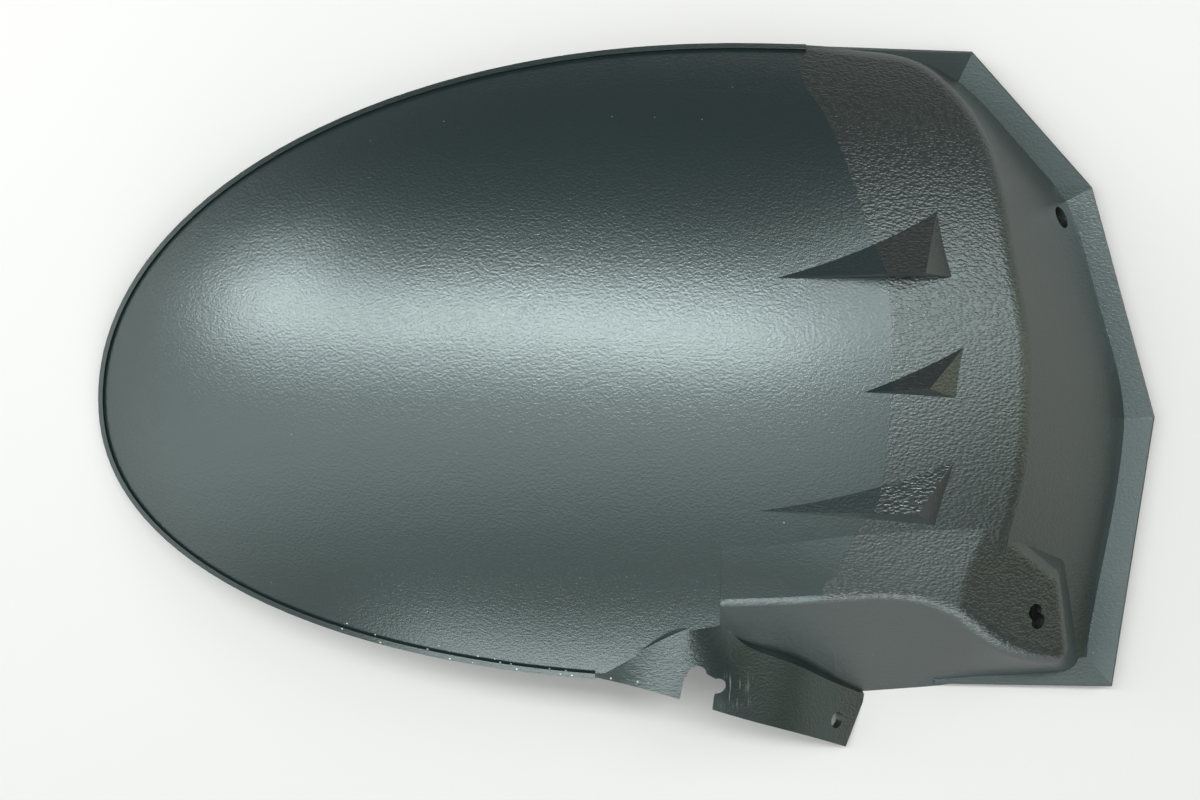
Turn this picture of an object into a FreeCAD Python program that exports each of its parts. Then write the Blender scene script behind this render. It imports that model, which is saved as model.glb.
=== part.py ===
import FreeCAD, Part
import math
import os
from FreeCAD import Vector

# A rear hugger mudguard, moulded in one piece, lying with its outer side up.
# +X is the front end with the flange, +Y is the side with the long plain rim, +Z is up.
# It rests on the tip of its tongue and on the foot of its front wall. Sizes are in mm.

# The sheet and the arch over the tyre
sheet = 3.0
arch_radius = 330.0
front_arch_radius = 540.0
arch_centre_x = 10.0
cross_radius = 210.0
cross_centre_y = 8.0

# The tongue, seen from above
tongue_centre_x = 65.0
tongue_length = 277.0
left_half_width = 145.0
right_half_width = 113.5
right_edge_power = 2.2
rim_width = 2.4
rim_height = 1.0
rim_end_x = 84.0

# The front wall: its foot and a line high on it, seen from above, and its usual slope
foot_z = 3.0
front_top_z = 62.0
front_slope = 49.0
front_foot = [(60, 160), (85, 151.5), (112, 147), (138, 143), (153, 134), (182, 104.6), (197, 86),
              (206, 63.5), (213.4, 36.4), (222, 2), (220, -34), (214, -66), (207, -104)]
front_top = [(60, 146), (84, 141), (108, 137), (126, 129), (135, 121.5), (151, 97.4), (156.5, 76.9),
             (163.8, 51), (169, 29), (171.2, 3.9), (165.5, -31.5), (156, -54), (147, -80)]
# The corners of the foot line on each side of the bolt hole
beside_hole = (6, 7)
front_crest_round = 12.0

# The side wall: its foot and a line high on it, seen from above, and its usual slope
side_top_z = 56.0
side_slope = 60.0
side_foot = [(20, -128.5), (60, -125.5), (100, -122.5), (130, -120.2), (145, -119.1), (158, -118.1),
             (172, -117.1), (187, -116), (205, -114.6), (230, -112.7)]
side_top = [(20, -91.4), (60, -88.4), (100, -85.4), (130, -84.5), (145, -88.5), (158, -95.4),
            (172, -99.4), (187, -101), (205, -101), (230, -99)]

# The shoulder above the side wall, which rises out of the arch towards the boss
shoulder_start = (60, -45)
shoulder_run = (90, 50)
shoulder_rise = 10.0
shoulder_sink = 0.5
shoulder_lip = 0.4
shoulder_lip_run = 22.0
shoulder_lap = 5.0

# The boss in the corner between the front wall and the side wall
boss_start = Vector(153, -80, 56)
boss_slope = 30.0
boss_turn = -20.0
boss_end = Vector(202.5, -100, foot_z)
boss_end_slope = 68.0
boss_step = Vector(161, -53, 57)
boss_step_turn = 36.0
boss_step_slope = 62.0
boss_round = 8.0

# The flared flange around the front wall
flange_corners = [(75, 145.2, 35), (157, 147, 9), (207.6, 89.7, 9), (234, -7.2, 9), (216, -120.8, 9),
                  (141, -119.9, 7)]
flange_width = 24.0
flange_slope = 26.0

# The side wing: its free edge, its upper edge and the ridge beside the pocket
wing_edge = [(-2, -110.5, 53.4), (12, -113.7, 53), (31, -119.6, 49.5), (45, -124.5, 45.5),
             (57, -128.7, 41), (78, -136, 28.5), (93, -142, 14.5), (104, -146.7, 3.6)]
wing_crease = [(-4, -107.5), (15, -99.5), (35, -89.5)]
crease_lap = 1.2
wing_shoulder = (47, -88.5, 57.5)
wing_ridge = [(57, -97.5, 45), (77, -107, 33), (93, -115.5, 18.5), (113, -125.2, -0.6)]
pocket_width = 16.0
pocket_slope = 35.0

# The three fins: tip, peak, peak height, far corner and near corner, seen from above
fins = [dict(tip=(61.0, 46.5), peak=(124.5, 48.5), rise=12.0, far=(131.5, 71.5), near=(137.0, 48.0)),
        dict(tip=(99.0, 2.8), peak=(126.5, 4.4), rise=6.0, far=(140.0, 19.0), near=(138.0, 0.8)),
        dict(tip=(52.5, -42.5), peak=(122.0, -44.0), rise=10.0, far=(136.5, -25.8), near=(131.0, -49.0))]

# How far each fin's faces run on below the arch, as a multiple of its height
fin_sink = 1.7
# The far foot's height above the arch, as a share of the peak's, which bows the fin's outline
fin_far_lift = 0.08
fin_tip_dip = 0.08

# Holes
front_hole = Vector(193, 76.4, 14)
front_hole_radius = 4.8
tab_hole = Vector(99, -134.4, 9)
tab_hole_radius = 3.5
slot_radius = 3.3
slot_centre = Vector(176.5, -87.5, 41.77)
slot_pitch = 4.6
slot_turn = 45.0

# The torn notch in the wing's free edge
notch_centres = [(38.6, -109.7), (47.3, -115.0)]
notch_radii = [4.0, 3.4]
notch_mouth = [(31.2, -124), (33.6, -110), (42, -109), (50, -114), (46, -119), (45, -128)]

floor_z = 0.0
reach = 400.0
up = Vector(0, 0, 1)
tip_x = tongue_centre_x - tongue_length
axle_z = -math.sqrt((arch_radius - sheet) ** 2 - (tip_x - arch_centre_x) ** 2)
crown_z = axle_z + arch_radius


def sine(degrees):
    return math.sin(math.radians(degrees))


def cosine(degrees):
    return math.cos(math.radians(degrees))


def tangent(degrees):
    return math.tan(math.radians(degrees))


def dome_height(x, y):
    # Height of the outer side of the arch over a point seen from above
    drop = cross_radius - math.sqrt(cross_radius ** 2 - (y - cross_centre_y) ** 2)
    radius = front_arch_radius if x > arch_centre_x else arch_radius
    return crown_z - radius + math.sqrt((radius - drop) ** 2 - (x - arch_centre_x) ** 2)


def arch(depth):
    # The filled arch: a curved cross section turned about the wheel's axle, and flatter towards the front
    centre_z = crown_z - cross_radius
    radius = cross_radius - depth
    half = 50.0

    def on_arc(angle):
        return Vector(arch_centre_x, cross_centre_y + radius * sine(angle), centre_z + radius * cosine(angle))

    left, top, right = on_arc(-half), on_arc(0), on_arc(half)
    low_z = -60
    low_right = Vector(arch_centre_x, right.y, low_z)
    low_left = Vector(arch_centre_x, left.y, low_z)
    edges = [Part.Arc(left, top, right).toShape(), Part.makeLine(right, low_right),
             Part.makeLine(low_right, low_left), Part.makeLine(low_left, left)]
    section = Part.Face(Part.Wire(edges))
    axis = Vector(0, 1, 0)
    back = section.revolve(Vector(arch_centre_x, 0, axle_z), axis, -65)
    front = section.revolve(Vector(arch_centre_x, 0, crown_z - front_arch_radius), axis, 32)
    return back.fuse(front)


def shifted(points, distance):
    # Points of a line moved sideways, towards the inside of the part
    moved = []
    for index, point in enumerate(points):
        before = points[max(index - 1, 0)]
        after = points[min(index + 1, len(points) - 1)]
        run = Vector(after[0] - before[0], after[1] - before[1], 0).normalize()
        moved.append((point[0] + run.y * distance, point[1] - run.x * distance))
    return moved


def front_outline(level, depth):
    share = (level - foot_z) / (front_top_z - foot_z)
    line = [(foot[0] + (top[0] - foot[0]) * share, foot[1] + (top[1] - foot[1]) * share)
            for foot, top in zip(front_foot, front_top)]
    points = [Vector(x, y, level) for x, y in shifted(line, depth / sine(front_slope))]
    curve = Part.BSplineCurve()
    curve.interpolate(points)
    back = [Vector(points[-1].x - 4, -reach, level), Vector(-reach, -reach, level),
            Vector(-reach, reach, level), Vector(points[0].x - 20, reach, level)]
    lines = [Part.makeLine(start, end) for start, end in zip([points[-1]] + back, back + [points[0]])]
    return Part.Wire([curve.toShape()] + lines)


def front_block(depth):
    # Everything behind the sloping front wall
    return Part.makeLoft([front_outline(-12, depth), front_outline(90, depth)], True, True)


def beyond(point, normal, depth):
    # The space outside a plane, which lies deeper by the given depth
    normal = Vector(normal).normalize()
    block = Part.makeBox(2 * reach, 2 * reach, reach, Vector(-reach, -reach, 0))
    block.Placement = FreeCAD.Placement(point - normal * depth, FreeCAD.Rotation(up, normal))
    return block


def side_outline(level, depth):
    share = (level - foot_z) / (side_top_z - foot_z)
    line = [(foot[0] + (top[0] - foot[0]) * share, foot[1] + (top[1] - foot[1]) * share)
            for foot, top in zip(side_foot, side_top)]
    points = [Vector(x, y, level) for x, y in shifted(line, -depth / sine(side_slope))]
    curve = Part.BSplineCurve()
    curve.interpolate(points)
    back = [Vector(reach, points[-1].y, level), Vector(reach, reach, level), Vector(points[0].x, reach, level)]
    lines = [Part.makeLine(start, end) for start, end in zip([points[-1]] + back, back + [points[0]])]
    return Part.Wire([curve.toShape()] + lines)


def side_block(depth):
    # Everything behind the sloping side wall, from the wing's shoulder forwards
    return Part.makeLoft([side_outline(-12, depth), side_outline(100, depth)], True, True)


def eased(share):
    share = min(max(share, 0), 1)
    return share * share * (3 - 2 * share)


def shoulder_height(x, y, depth):
    # The arch, raised smoothly towards the boss; it starts a little below the arch and soon comes out of it
    raised = eased((x - shoulder_start[0]) / shoulder_run[0]) * eased((shoulder_start[1] - y) / shoulder_run[1])
    lip = (shoulder_sink + shoulder_lip) * eased((shoulder_start[1] - y) / shoulder_lip_run)
    return dome_height(x, y) + shoulder_rise * raised + lip - shoulder_sink - 1.05 * depth


def shoulder_top(depth):
    rows = []
    for step_x in range(0, 20):
        x = wing_shoulder[0] + 10 * step_x
        rows.append([Vector(x, y, shoulder_height(x, y, depth)) for y in range(-150, -19, 10)])
    surface = Part.BSplineSurface()
    surface.interpolate(rows)
    return surface.toShape()


def boss_face_plane():
    outward = Vector(cosine(boss_turn), sine(boss_turn), 0)
    return boss_start, outward * sine(boss_slope) + up * cosine(boss_slope)


def boss_end_plane():
    return boss_end, Vector(sine(boss_end_slope), 0.06, cosine(boss_end_slope))


def boss_step_plane():
    outward = Vector(cosine(boss_step_turn), sine(boss_step_turn), 0)
    return boss_step, outward * sine(boss_step_slope) + up * cosine(boss_step_slope)


def off_shape(shape):
    return lambda point: Part.Vertex(point).distToShape(shape)[0]


def shoulder_and_boss(depth):
    # The shoulder's top and the side wall, cut off at the front by the three planes of the boss
    behind_side = side_block(depth)
    block = shoulder_top(depth).extrude(up * -150).common(behind_side)
    planes = [boss_face_plane(), boss_end_plane(), boss_step_plane()]
    for point, normal in planes:
        block = block.cut(beyond(point, normal, depth))
    face, end, step = [lambda point, plane=plane: off_plane(point, plane, depth) for plane in planes]
    top = off_shape(shoulder_top(depth))
    side = off_shape(Part.Compound([wall for wall in behind_side.Faces if wall.Area > 1000]))
    pairs = [(side, top), (side, face), (side, end), (top, face), (top, step), (face, end), (face, step), (end, step)]
    edges = [edge for pair in pairs for edge in between(block, pair, -5)]
    return block.makeFillet(boss_round - depth, edges)


def fin(tip, peak, rise, far, near, depth):
    # A wedge with four flat sides, sunk through the arch; the hollow under it is the same wedge, smaller
    top = Vector(peak[0], peak[1], dome_height(*peak) + rise)
    feet = [Vector(x, y, dome_height(x, y)) for x, y in (tip, far, near)]
    feet[0] -= up * (rise * fin_tip_dip)
    feet[1] += up * (rise * fin_far_lift)
    sunk = [top + (foot - top) * fin_sink for foot in feet]
    corners = [top] + sunk
    faces = []
    for trio in ((0, 1, 2), (0, 2, 3), (0, 3, 1), (1, 3, 2)):
        faces.append(Part.Face(Part.makePolygon([corners[i] for i in trio + trio[:1]])))
    wedge = Part.Solid(Part.Shell(faces))
    centre = (top + sunk[0] + sunk[1] + sunk[2]) * 0.25
    for face in faces:
        middle = face.CenterOfMass
        normal = face.normalAt(0, 0)
        if normal.dot(middle - centre) < 0:
            normal = -normal
        if depth > 0:
            wedge = wedge.cut(beyond(middle, normal, depth))
    return wedge


def off_plane(point, plane, depth):
    # How far a point lies outside a plane that is deeper by the given depth
    return (point - plane[0]).dot(Vector(plane[1]).normalize()) + depth


def off_arch(point, depth):
    # How far a point lies outside the arch's curved side
    radius = front_arch_radius if point.x > arch_centre_x else arch_radius
    ring = math.hypot(point.x - arch_centre_x, point.z - crown_z + radius) - (radius - cross_radius)
    return math.hypot(ring, point.y - cross_centre_y) - cross_radius + depth


def middle(edge):
    return edge.valueAt((edge.FirstParameter + edge.LastParameter) / 2)


def between(solid, tests, level):
    # The edges above a level whose middles pass both tests, which measure a distance from a surface
    kept = []
    for edge in solid.Edges:
        point = middle(edge)
        if point.z > level and all(abs(test(point)) < 0.02 for test in tests):
            kept.append(edge)
    return kept


def main_block(depth):
    # The arch behind its front wall, with the crest between them rounded
    main = arch(depth).common(front_block(depth))
    crest = between(main, [lambda point: off_arch(point, depth), lambda point: min(0, point.x - 100)], foot_z)
    return main.makeFillet(front_crest_round - depth, crest)


def body(depth):
    # The filled form of the part, with every wall deeper by the given depth
    main = main_block(depth)
    right_part = Part.makeBox(reach, 2 * reach, reach, Vector(wing_shoulder[0], -reach, -50))
    main = main.cut(right_part.cut(side_block(depth + shoulder_lap)))
    main = main.fuse(shoulder_and_boss(depth))
    for sizes in fins:
        wedge = fin(depth=depth, **sizes)
        if wedge.Volume > 1:
            main = main.fuse(wedge)
    return main


def tongue_edge(inset):
    # The free edge of the tongue, seen from above, from the front end of its long side to the crease
    length = tongue_length - inset
    points = []
    for step in range(0, 13):
        angle = math.radians(90 + 90 * step / 12)
        points.append((tongue_centre_x + length * math.cos(angle), (left_half_width - inset) * math.sin(angle)))
    power = 2 / right_edge_power
    last = math.acos(((tongue_centre_x - wing_edge[0][0]) / length) ** (1 / power))
    for step in range(1, 13):
        angle = last * step / 12
        points.append((tongue_centre_x - length * math.cos(angle) ** power,
                       (inset - right_half_width) * math.sin(angle) ** power))
    return points


def outline(inset, low, high):
    # The trimmed plan of the arch, as an upright block
    edge = [Vector(x, y, low) for x, y in tongue_edge(inset)]
    curve = Part.BSplineCurve()
    curve.interpolate(edge)
    crease = [Vector(x, y - crease_lap, low) for x, y in wing_crease[1:]]
    rest = crease + [Vector(wing_shoulder[0], wing_shoulder[1], low), Vector(wing_shoulder[0], -reach, low),
                     Vector(reach, -reach, low), Vector(reach, left_half_width - inset, low)]
    lines = [Part.makeLine(start, end) for start, end in zip([edge[-1]] + rest, rest + [edge[0]])]
    return Part.Face(Part.Wire([curve.toShape()] + lines)).extrude(up * (high - low))


def rim(hollow):
    # A raised bead along the free edge of the tongue
    band = outline(0, floor_z, 100).cut(outline(rim_width, floor_z - 1, 101))
    band = band.cut(Part.makeBox(reach, 2 * reach, reach, Vector(wing_edge[0][0], -2 * reach, -50)))
    band = band.cut(Part.makeBox(reach, 2 * reach, reach, Vector(rim_end_x, -reach, -50)))
    return arch(-rim_height).common(band).cut(hollow)


def mitred(points, distance):
    # The corners of a line moved sideways, with each stretch kept parallel
    moved = []
    for index, point in enumerate(points):
        here = Vector(*point)
        sides = []
        if index > 0:
            sides.append(here - Vector(*points[index - 1]))
        if index < len(points) - 1:
            sides.append(Vector(*points[index + 1]) - here)
        inward = [Vector(side.y, -side.x, 0).normalize() for side in sides]
        halfway = (inward[0] + inward[-1]).normalize()
        moved.append(here + halfway * (distance / halfway.dot(inward[0])))
    return moved


def flange():
    # One flat strip for each stretch, flaring upwards, with its cut edge square to it
    drop = sheet * cosine(flange_slope)
    lean = sheet * sine(flange_slope)
    fall = flange_width * tangent(flange_slope)
    rings = [(lean, 0), (lean + flange_width, -fall), (flange_width, -fall - drop), (0, -drop)]
    rows = [[corner + up * level for corner in mitred(flange_corners, inset)] for inset, level in rings]
    strips = []
    for index in range(len(flange_corners) - 1):
        ends = [Part.makePolygon([row[index + side] for row in rows] + [rows[0][index + side]]) for side in (0, 1)]
        strips.append(Part.makeLoft(ends, True, True))
    return strips[0].fuse(strips[1:])


def smooth_line(points):
    curve = Part.BSplineCurve()
    curve.interpolate([Vector(*point) for point in points])
    return curve


def wing_faces():
    # The wing itself, and the floor of the pocket, which falls from the wing's ridge into the side wall
    upper = smooth_line([(x, y, dome_height(x, y)) for x, y in wing_crease] + [wing_shoulder] + wing_ridge)
    face = Part.makeRuledSurface(smooth_line(wing_edge).toShape(), upper.toShape())
    ridge = upper.toShape(upper.parameter(Vector(*wing_shoulder)), upper.LastParameter)
    pocket = ridge.extrude(Vector(-1, pocket_width, -pocket_width * tangent(pocket_slope)))
    return face, pocket


def wing(hollow):
    thick = Vector(-0.57, 0.13, -0.97) * sheet
    solids = [face.extrude(thick) for face in wing_faces()]
    right_part = Part.makeBox(reach, 2 * reach, reach, Vector(wing_shoulder[0], -reach, -50))
    return solids[0].fuse(solids[1]).cut(hollow.common(right_part))


def under_wing():
    thick = Vector(-0.57, 0.13, -0.97) * sheet
    spaces = []
    for face in wing_faces():
        low = face.copy()
        low.translate(thick)
        spaces.append(low.extrude(up * -90))
    spaces.append(Part.makeBox(54, reach, 30, Vector(wing_shoulder[0] - 7, -118 - reach, 0)))
    return spaces


def pin(centre, normal, radius):
    return Part.makeCylinder(radius, 30, centre - normal * 15, normal)


def notch():
    low, high = 20, 90
    mouth = Part.makePolygon([Vector(x, y, low) for x, y in notch_mouth + notch_mouth[:1]])
    cut = Part.Face(mouth).extrude(up * (high - low))
    for (x, y), radius in zip(notch_centres, notch_radii):
        cut = cut.fuse(Part.makeCylinder(radius, high - low, Vector(x, y, low)))
    return cut


def front_wall_normal():
    # The direction that the front wall faces beside its hole
    here, there = [Vector(*front_foot[index], foot_z) for index in beside_hole]
    return (there - here).cross(here - Vector(*front_top[beside_hole[0]], front_top_z)).normalize()


def tab_normal():
    face = wing_faces()[0]
    normal = face.normalAt(*face.Surface.parameter(tab_hole))
    return normal if normal.z > 0 else -normal


def holes():
    boss_normal = boss_face_plane()[1]
    across = up.cross(boss_normal).normalize()
    along = across * -cosine(slot_turn) + across.cross(boss_normal) * sine(slot_turn)
    ends = [slot_centre + along * (slot_pitch * side / 2) for side in (-1, 1)]
    slot = [pin(end, boss_normal, slot_radius) for end in ends]
    front = pin(front_hole, front_wall_normal(), front_hole_radius)
    return [front, pin(tab_hole, tab_normal(), tab_hole_radius)] + slot


def hugger():
    trim = outline(0, floor_z, 120)
    outer = body(0).common(trim)
    hollow = body(sheet)
    shell = outer.cut(hollow)
    for space in under_wing():
        shell = shell.cut(space)
    above_floor = Part.makeBox(2 * reach, 2 * reach, 200, Vector(-reach, -reach, floor_z))
    shell = shell.fuse([wing(hollow), flange().cut(hollow), rim(hollow)])
    shell = shell.common(above_floor).cut(notch())
    for hole in holes():
        shell = shell.cut(hole)
    # The foot of the side wall leaves loose crumbs under the wing, which are trimmed off
    return max(shell.Solids, key=lambda solid: solid.Volume)


os.makedirs("parts", exist_ok=True)
part = hugger()
box = part.optimalBoundingBox(False, False)
# The origin is on the floor, under the middle of the part's box
to_origin = Vector(-(box.XMin + box.XMax) / 2, -(box.YMin + box.YMax) / 2, -box.ZMin)
part.translate(to_origin)
print("valid", part.isValid(), "faces", len(part.Faces), "volume", round(part.Volume, 1))
print("box", round(box.XLength, 2), round(box.YLength, 2), round(box.ZLength, 2))
mounts = [("front_hole", front_hole, front_wall_normal()), ("tab_hole", tab_hole, tab_normal()),
          ("boss_slot", slot_centre, boss_face_plane()[1])]
for name, point, normal in mounts:
    print(name, point + to_origin, normal)
part.exportStep("parts/hugger.step")
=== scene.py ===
import math

import bpy
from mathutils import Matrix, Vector

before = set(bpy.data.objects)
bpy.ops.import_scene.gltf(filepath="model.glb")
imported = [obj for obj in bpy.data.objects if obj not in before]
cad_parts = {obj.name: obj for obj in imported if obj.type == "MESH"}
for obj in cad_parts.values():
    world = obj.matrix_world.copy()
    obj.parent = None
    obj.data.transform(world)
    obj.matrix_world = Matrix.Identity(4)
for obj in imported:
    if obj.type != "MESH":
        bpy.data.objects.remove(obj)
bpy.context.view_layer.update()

# Lengths are in metres, in the part's own frame, and colours are linear.

# The picture: its size and focal length in pixels, from a camera straight above the table
PICTURE_WIDTH = 1200
PICTURE_HEIGHT = 800
FOCAL_PIXELS = 2000
CAMERA_HEIGHT = 0.85
SENSOR_MM = 36.0
# Where the middle of the picture meets the table
PICTURE_MIDDLE = Vector((-0.011, -0.00015, 0))

# The two surface textures: leather grain on the front end and orange peel on the smooth tongue
LEATHER_PITCH = 0.00105
LEATHER_DEPTH = 0.00012
PEEL_PITCH = 0.0010
PEEL_DEPTH = 0.00014

# The edge of the grain, in pixels of the picture, and the height at which the part has it
GRAIN_EDGE = [(809, 71), (825, 102), (841, 143), (854, 184), (864, 219), (885, 293), (887, 370),
              (884, 430), (875, 500), (860, 524), (840, 560), (820, 602), (828, 632), (850, 680)]
GRAIN_EDGE_HEIGHT = 0.068

# The foot of the front wall and of the side wall, where the flange starts, as (y, x)
FLANGE_FOOT = [(-0.1165, 0.125), (-0.113, 0.187), (-0.104, 0.194), (-0.066, 0.199),
               (-0.034, 0.205), (0.002, 0.207), (0.036, 0.1985), (0.063, 0.191), (0.086, 0.182),
               (0.1045, 0.167), (0.134, 0.138), (0.1425, 0.112), (0.146, 0.058)]
# How far these two outlines can run: from -SIDE_Y to SIDE_Y across the part, and from 0 along X
SIDE_Y = 0.16
GRAIN_EDGE_MAX_X = 0.16
FLANGE_FOOT_MAX_X = 0.24

# The free edge of the tongue, as two half ellipses: the middle, the length and each side's width
TONGUE_MIDDLE_X = 0.054
TONGUE_LENGTH = 0.277
TONGUE_WIDTH_UP = 0.145
TONGUE_WIDTH_DOWN = 0.1135

# Plastic: two tints that the smooth part drifts between, the grain's tint and the worn one's
SMOOTH_TINTS = (0.0070, 0.0150, 0.0155, 1), (0.0110, 0.0205, 0.0213, 1)
GRAIN_TINT = (0.0125, 0.0150, 0.0138, 1)
WORN_TINT = (0.66, 0.70, 0.69, 1)
SMOOTH_ROUGHNESS = 0.29
GRAIN_ROUGHNESS = 0.34
SCUFFED_EXTRA = 0.26
PLASTIC_IOR = 1.8
PLASTIC_SPECULAR = 0.9
# The specular tint is painted light: it is the cyan colour of the lamps, put into the plastic's
# reflections instead of into the lamps
PAINTED_LAMP_TINT = (0.84, 1.0, 0.985, 1)

# Table: its half side, its colour to the camera, and a darker one to all other rays, so that
# the walls of the part don't mirror it too brightly
TABLE_REACH = 3.0
TABLE_COLOUR = (0.76, 0.755, 0.745, 1)
TABLE_BOUNCE = (0.46, 0.45, 0.44, 1)

# Room: how bright it is by the Y of the direction, which is -1 towards the bottom of the
# picture, 0 overhead and 1 towards its top, and its colours
ROOM_LEVEL = [(-1, 0.77), (-0.85, 0.30), (-0.7, 0.33), (-0.46, 0.73), (-0.25, 1.12),
              (-0.05, 0.91), (0.12, 0.66), (0.35, 0.34), (0.58, 0.14), (0.79, 0.10), (1, 0.09)]
ROOM_LEVEL_MAX = 2
DARK_CORNER_SHARE = 0.12
ROOM_COLOUR = (0.97, 1.0, 0.99, 1)
ROOM_WARM_COLOUR = (1.0, 0.98, 0.68, 1)
LAMP_COLOUR = (0.99, 1.0, 1.0)


class Nodes:
    """Adds shader nodes to one material or world, and links them by plain calls."""

    def __init__(self, owner):
        owner.use_nodes = True
        self.tree = owner.node_tree
        self.tree.nodes.clear()

    def add(self, kind, **inputs):
        """A new node, with its inputs given by name, or by place as i0, i1 and so on."""
        node = self.tree.nodes.new(kind)
        for name, value in inputs.items():
            self.put(node, name, value)
        return node

    def put(self, node, name, value):
        """Links a socket to an input, or sets the input to a plain value."""
        by_place = name[0] == "i" and name[1:].isdigit()
        socket = node.inputs[int(name[1:])] if by_place else node.inputs[name]
        if isinstance(value, bpy.types.NodeSocket):
            self.tree.links.new(value, socket)
        else:
            socket.default_value = value

    def math(self, operation, a, b=0.0):
        node = self.add("ShaderNodeMath", i0=a, i1=b)
        node.operation = operation
        return node.outputs[0]

    def plus(self, a, b):
        return self.math("ADD", a, b)

    def times(self, *values):
        total = values[0]
        for value in values[1:]:
            total = self.math("MULTIPLY", total, value)
        return total

    def ramp(self, value, low, high, start=0.0, end=1.0):
        """A smooth step from start to end, as the value goes from low to high."""
        node = self.add("ShaderNodeMapRange")
        node.interpolation_type = "SMOOTHSTEP"
        for name, number in (("Value", value), ("From Min", low), ("From Max", high),
                             ("To Min", start), ("To Max", end)):
            self.put(node, name, number)
        return node.outputs[0]

    def mix(self, factor, a, b):
        """Colour a where the factor is 0, and b where it is 1."""
        node = self.tree.nodes.new("ShaderNodeMix")
        node.data_type = "RGBA"
        self.put(node, "i0", factor)
        self.put(node, "i6", a)
        self.put(node, "i7", b)
        return node.outputs[2]

    def blend(self, factor, a, b):
        """Number a where the factor is 0, and b where it is 1."""
        node = self.tree.nodes.new("ShaderNodeMix")
        node.data_type = "FLOAT"
        self.put(node, "i0", factor)
        self.put(node, "i2", a)
        self.put(node, "i3", b)
        return node.outputs[0]

    def curve(self, value, points, low, high, bottom, top):
        """A smooth curve through the points (value, result), level beyond the first and last.

        It holds for values from low to high and results from bottom to top.
        """
        node = self.tree.nodes.new("ShaderNodeFloatCurve")
        line = node.mapping.curves[0]
        spots = [((x - low) / (high - low), (y - bottom) / (top - bottom))
                 for x, y in sorted(points)]
        near_start, near_end = 0.001, 0.999
        if spots[0][0] > near_start:
            spots.insert(0, (0.0, spots[0][1]))
        if spots[-1][0] < near_end:
            spots.append((1.0, spots[-1][1]))
        while len(line.points) < len(spots):
            line.points.new(0.5, 0.5)
        for point, spot in zip(line.points, spots):
            point.location = spot
        node.mapping.update()
        along = self.math("DIVIDE", self.math("SUBTRACT", value, low), high - low)
        self.put(node, "Value", along)
        return self.plus(self.times(node.outputs[0], top - bottom), bottom)

    def split(self, vector):
        """The vector's sockets X, Y and Z."""
        return self.add("ShaderNodeSeparateXYZ", Vector=vector).outputs

    def noise(self, vector, scale, detail, roughness=0.5):
        node = self.add("ShaderNodeTexNoise", Vector=vector, Scale=scale, Detail=detail,
                        Roughness=roughness)
        return node.outputs["Fac"]

    def stretched(self, vector, scale):
        return self.add("ShaderNodeMapping", Vector=vector, Scale=scale).outputs["Vector"]

    def warped(self, vector, scale, amount):
        """The vector pushed about by a noise, by up to half the amount each way."""
        noise = self.add("ShaderNodeTexNoise", Vector=vector, Scale=scale, Detail=1.0)
        push = self.add("ShaderNodeVectorMath", i0=noise.outputs["Color"], i1=(0.5, 0.5, 0.5))
        push.operation = "SUBTRACT"
        grown = self.add("ShaderNodeVectorMath", i0=push.outputs[0], i3=amount)
        grown.operation = "SCALE"
        return self.add("ShaderNodeVectorMath", i0=vector, i1=grown.outputs[0]).outputs[0]


def on_part(pixel_x, pixel_y, height):
    """The plan position of what a pixel shows, at a height above the table."""
    scale = (CAMERA_HEIGHT - height) / FOCAL_PIXELS
    x = PICTURE_MIDDLE.x + (pixel_x - PICTURE_WIDTH / 2) * scale
    y = PICTURE_MIDDLE.y + (PICTURE_HEIGHT / 2 - pixel_y) * scale
    return x, y


def grain_mask(nodes, position):
    """1 in the leather-grained front end of the part, and 0 on the smooth tongue."""
    places = [on_part(x, y, GRAIN_EDGE_HEIGHT) for x, y in GRAIN_EDGE]
    here = nodes.split(position)
    edge_x = nodes.curve(here["Y"], [(y, x) for x, y in places],
                         -SIDE_Y, SIDE_Y, 0.0, GRAIN_EDGE_MAX_X)
    return nodes.ramp(nodes.math("SUBTRACT", here["X"], edge_x), -0.0002, 0.0002)


def flange_mask(nodes, position):
    """1 on the flange, beyond the foot of the front wall, and 0 elsewhere."""
    here = nodes.split(position)
    foot_x = nodes.curve(here["Y"], FLANGE_FOOT, -SIDE_Y, SIDE_Y, 0.0, FLANGE_FOOT_MAX_X)
    return nodes.ramp(nodes.math("SUBTRACT", here["X"], foot_x), -0.0005, 0.0015)


def tongue_rim(nodes, position):
    """How near the free edge of the tongue a point is: 1 at the edge, less inside it."""
    here = nodes.split(position)
    off_middle = nodes.math("ABSOLUTE", nodes.math("SUBTRACT", here["X"], TONGUE_MIDDLE_X))
    along = nodes.math("DIVIDE", off_middle, TONGUE_LENGTH)
    upper = nodes.math("MAXIMUM", here["Y"], 0.0)
    lower = nodes.math("MAXIMUM", nodes.times(here["Y"], -1.0), 0.0)
    across = nodes.plus(nodes.math("DIVIDE", upper, TONGUE_WIDTH_UP),
                        nodes.math("DIVIDE", lower, TONGUE_WIDTH_DOWN))
    return nodes.math("SQRT", nodes.plus(nodes.times(along, along), nodes.times(across, across)))


def in_box(nodes, position, low, high, soft=0.002):
    """1 inside a box seen from above, with soft sides, and 0 outside it."""
    here = nodes.split(position)
    sides = []
    for axis, start, end in (("X", low[0], high[0]), ("Y", low[1], high[1])):
        sides.append(nodes.ramp(here[axis], start - soft, start + soft))
        sides.append(nodes.ramp(here[axis], end - soft, end + soft, 1.0, 0.0))
    return nodes.times(*sides)


def specks(nodes, position, pitch, size, share):
    """Small round specks, in a share of the cells of a loose grid; the size is a part of a cell."""
    cells = nodes.add("ShaderNodeTexVoronoi", Vector=position, Scale=1 / pitch)
    near = nodes.ramp(cells.outputs["Distance"], size * 0.6, size, 1.0, 0.0)
    pick = nodes.split(cells.outputs["Color"])["X"]
    return nodes.times(near, nodes.ramp(pick, 1 - share, 1 - share + 0.01))


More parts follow.
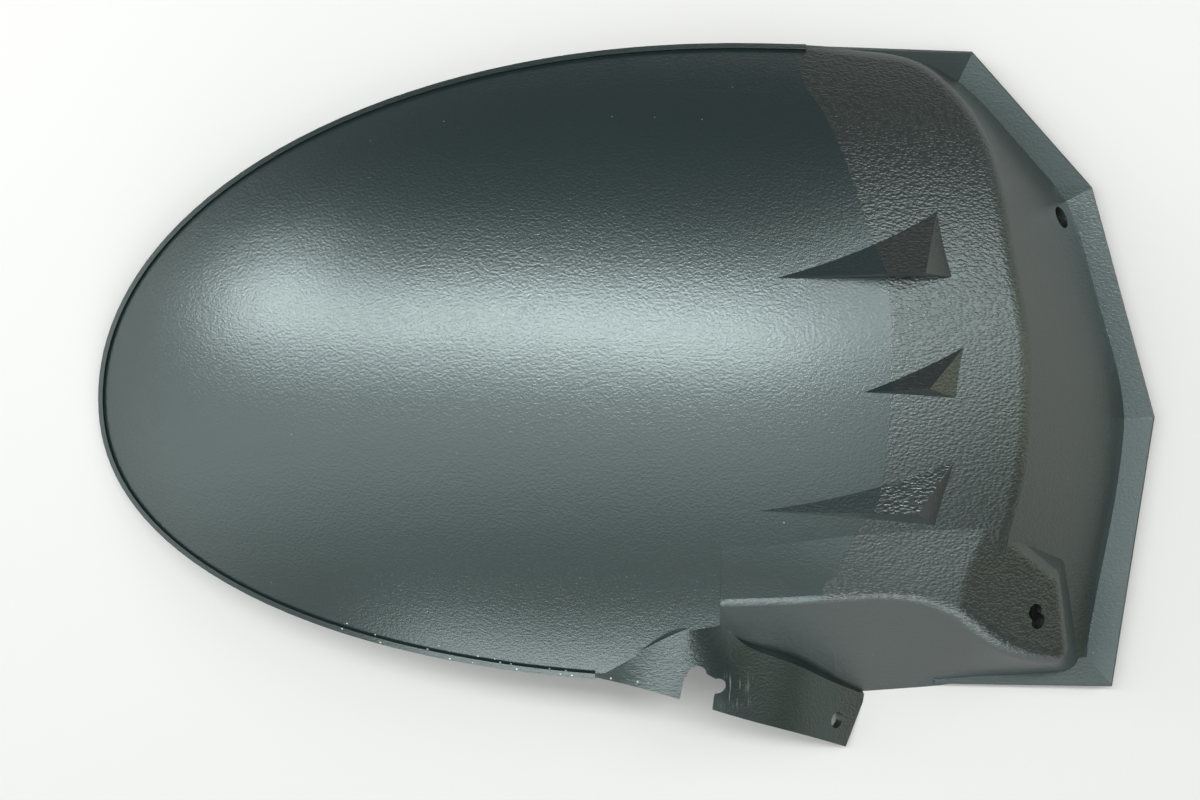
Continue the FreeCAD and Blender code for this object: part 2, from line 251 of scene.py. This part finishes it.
def wear(nodes, position, outer):
    """How worn pale the outer side is: chips, dust, scratches on the wing and a rubbed spot."""
    lower_rim = nodes.times(nodes.ramp(tongue_rim(nodes, position), 0.978, 0.990),
                            in_box(nodes, position, (-0.120, -0.125), (0.010, -0.080)))
    rim_chips = nodes.times(specks(nodes, position, pitch=0.0022, size=0.22, share=0.40), lower_rim)
    dust = specks(nodes, position, pitch=0.0060, size=0.050, share=0.25)
    fin_foot = in_box(nodes, position, (0.045, -0.0515), (0.122, -0.0475), soft=0.0008)
    fin_chips = nodes.times(specks(nodes, position, pitch=0.0025, size=0.17, share=0.14), fin_foot)
    # Scratches run across the wing beside the notch, towards its free edge
    scratched = in_box(nodes, position, (0.036, -0.1230), (0.050, -0.1110), soft=0.003)
    drawn_out = nodes.noise(nodes.stretched(position, (1.0, 0.07, 0.07)), scale=1300.0, detail=1.0)
    scratches = nodes.times(nodes.ramp(drawn_out, 0.60, 0.72), scratched)
    # The foot of the wing, beside the tongue, is rubbed
    scuffed = in_box(nodes, position, (0.004, -0.112), (0.028, -0.098), soft=0.006)
    patchy = nodes.noise(position, scale=700.0, detail=3.0)
    rubbed = nodes.times(nodes.ramp(patchy, 0.56, 0.70), scuffed)
    total = rim_chips
    for mark, strength in ((dust, 0.35), (fin_chips, 0.8), (scratches, 0.30), (rubbed, 0.10)):
        total = nodes.math("MAXIMUM", total, nodes.times(mark, strength))
    return nodes.times(total, outer)


def texture_height(nodes, place, upward, leather_here):
    """The height of the surface texture, in shares of the leather's depth."""
    # Leather grain: small drawn-out pebbles with soft valleys between them
    wide = nodes.warped(nodes.stretched(place, (0.58, 1.0, 0.8)), scale=500.0, amount=0.0010)
    cells = nodes.add("ShaderNodeTexVoronoi", Vector=wide, Scale=1 / LEATHER_PITCH)
    pebbles = nodes.ramp(cells.outputs["Distance"], 0.10, 0.85, 1.0, 0.0)
    pores = nodes.noise(wide, scale=1500.0, detail=1.0)
    leather = nodes.plus(pebbles, nodes.times(pores, 0.5))
    # The grain is shallower on the steep walls
    steep = nodes.ramp(upward, 0.45, 0.92, 0.3, 1.0)
    # Fine orange peel on the smooth part, over slow waves left by the moulding
    fine = nodes.noise(nodes.stretched(place, (0.75, 1.0, 0.9)), scale=1 / PEEL_PITCH,
                       detail=2.0, roughness=0.6)
    slow = nodes.noise(place, scale=150.0, detail=1.0)
    peel = nodes.plus(nodes.times(fine, PEEL_DEPTH / LEATHER_DEPTH), nodes.times(slow, 0.35))
    return nodes.blend(leather_here, peel, nodes.times(leather, steep))


def moulded_plastic():
    """Black plastic: grained in front, smooth on the tongue, scuffed on the flange, and worn."""
    material = bpy.data.materials.new("grained_black_plastic")
    nodes = Nodes(material)
    place = nodes.add("ShaderNodeTexCoord").outputs["Object"]
    upward = nodes.split(nodes.add("ShaderNodeNewGeometry").outputs["Normal"])["Z"]
    outer = nodes.ramp(upward, -0.05, 0.05)
    on_flange = flange_mask(nodes, place)
    off_flange = nodes.ramp(on_flange, 0.0, 1.0, 1.0, 0.0)
    leather_here = nodes.times(grain_mask(nodes, place), off_flange, outer)

    height = texture_height(nodes, place, upward, leather_here)
    bump = nodes.add("ShaderNodeBump", Height=height, Distance=LEATHER_DEPTH, Strength=1.0)

    cloud = nodes.noise(place, scale=11.0, detail=1.0)
    tint = nodes.mix(leather_here, nodes.mix(cloud, *SMOOTH_TINTS), GRAIN_TINT)
    tint = nodes.mix(wear(nodes, place, outer), tint, WORN_TINT)

    # The flange is scuffed dull, but for its stretch beside the bolt hole
    y = nodes.split(place)["Y"]
    shiny = nodes.times(nodes.ramp(y, -0.009, -0.006), nodes.ramp(y, 0.0895, 0.0915, 1.0, 0.0))
    dull = nodes.times(on_flange, nodes.ramp(shiny, 0.0, 1.0, SCUFFED_EXTRA, 0.0))
    rough = nodes.plus(nodes.blend(leather_here, SMOOTH_ROUGHNESS, GRAIN_ROUGHNESS), dull)

    shader = nodes.add("ShaderNodeBsdfPrincipled", Normal=bump.outputs["Normal"], Roughness=rough)
    nodes.put(shader, "Base Color", tint)
    nodes.put(shader, "IOR", PLASTIC_IOR)
    nodes.put(shader, "Specular IOR Level", PLASTIC_SPECULAR)
    # Painted lamp colour: the specular tint gives every reflection the lamps' cyan tint
    nodes.put(shader, "Specular Tint", PAINTED_LAMP_TINT)
    nodes.add("ShaderNodeOutputMaterial", Surface=shader.outputs[0])
    return material


def dress(node_name, material):
    """Puts the material in every slot of a node of the frame."""
    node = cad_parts[node_name]
    if not node.material_slots:
        node.data.materials.append(material)
    for slot in node.material_slots:
        slot.material = material


def floor():
    """The pale table."""
    reach = TABLE_REACH
    corners = [(-reach, -reach, 0), (reach, -reach, 0), (reach, reach, 0), (-reach, reach, 0)]
    mesh = bpy.data.meshes.new("floor")
    mesh.from_pydata(corners, [], [(0, 1, 2, 3)])
    thing = bpy.data.objects.new("floor", mesh)
    bpy.context.scene.collection.objects.link(thing)
    material = bpy.data.materials.new("pale_table")
    nodes = Nodes(material)
    shader = nodes.add("ShaderNodeBsdfPrincipled", Roughness=0.5)
    seen = nodes.add("ShaderNodeLightPath").outputs["Is Camera Ray"]
    nodes.put(shader, "Base Color", nodes.mix(seen, TABLE_BOUNCE, TABLE_COLOUR))
    nodes.put(shader, "Specular IOR Level", 0.3)
    nodes.add("ShaderNodeOutputMaterial", Surface=shader.outputs[0])
    mesh.materials.append(material)


def panel(name, place, size, watts, turn=0.0, target=None):
    """A lamp panel, which faces its target, or looks straight down and is turned about Z."""
    lamp = bpy.data.lights.new(name, "AREA")
    lamp.shape = "RECTANGLE"
    lamp.size, lamp.size_y = size
    lamp.energy = watts
    lamp.color = LAMP_COLOUR
    thing = bpy.data.objects.new(name, lamp)
    thing.location = place
    thing.rotation_euler = (0, 0, math.radians(turn))
    if target is not None:
        way = Vector(target) - Vector(place)
        thing.rotation_euler = way.to_track_quat("-Z", "Y").to_euler()
    bpy.context.scene.collection.objects.link(thing)


def room():
    """The light that the room gives back, which is dim towards the top of the picture."""
    world = bpy.data.worlds.new("room")
    bpy.context.scene.world = world
    nodes = Nodes(world)
    way = nodes.split(nodes.add("ShaderNodeTexCoord").outputs["Generated"])
    level = nodes.curve(way["Y"], ROOM_LEVEL, -1, 1, 0, ROOM_LEVEL_MAX)
    # The room is dark towards the picture's lower right corner, and warm low on its right
    dark_corner = nodes.times(nodes.ramp(way["X"], 0.35, 0.80), nodes.ramp(way["Y"], -0.02, -0.25))
    level = nodes.times(level, nodes.ramp(dark_corner, 0.0, 1.0, 1.0, DARK_CORNER_SHARE))
    warmth = nodes.ramp(way["X"], 0.7, 0.95)
    background = nodes.add("ShaderNodeBackground", Strength=level)
    nodes.put(background, "Color", nodes.mix(warmth, ROOM_COLOUR, ROOM_WARM_COLOUR))
    nodes.add("ShaderNodeOutputWorld", Surface=background.outputs[0])


def lights():
    # A long lamp overhead and a wide one beyond it give the bright band along the tongue
    panel("overhead_strip", (-0.75, 0.46, 1.6), (2.9, 0.30), watts=24.0, turn=-5.6)
    panel("far_panel", (-3.3, 1.10, 1.5), (2.4, 0.9), watts=46.0, turn=-11.5)
    # One softbox lights the crest of the front wall, and a low one the side wall and the wing
    panel("front_softbox", (1.25, 0.70, 1.42), (0.9, 0.9), watts=5.5, target=(0.15, 0, 0))
    panel("low_window", (0.1, -2.4, 0.6), (3.0, 0.7), watts=17.0, target=(0.1, 0, 0.05))


def camera():
    lens = bpy.data.cameras.new("camera")
    lens.sensor_width = SENSOR_MM
    lens.lens = FOCAL_PIXELS / PICTURE_WIDTH * SENSOR_MM
    thing = bpy.data.objects.new("camera", lens)
    thing.location = PICTURE_MIDDLE + Vector((0, 0, CAMERA_HEIGHT))
    bpy.context.scene.collection.objects.link(thing)
    bpy.context.scene.camera = thing


camera()
room()
lights()
floor()
dress("hugger", moulded_plastic())
bpy.context.scene.view_settings.view_transform = "Standard"
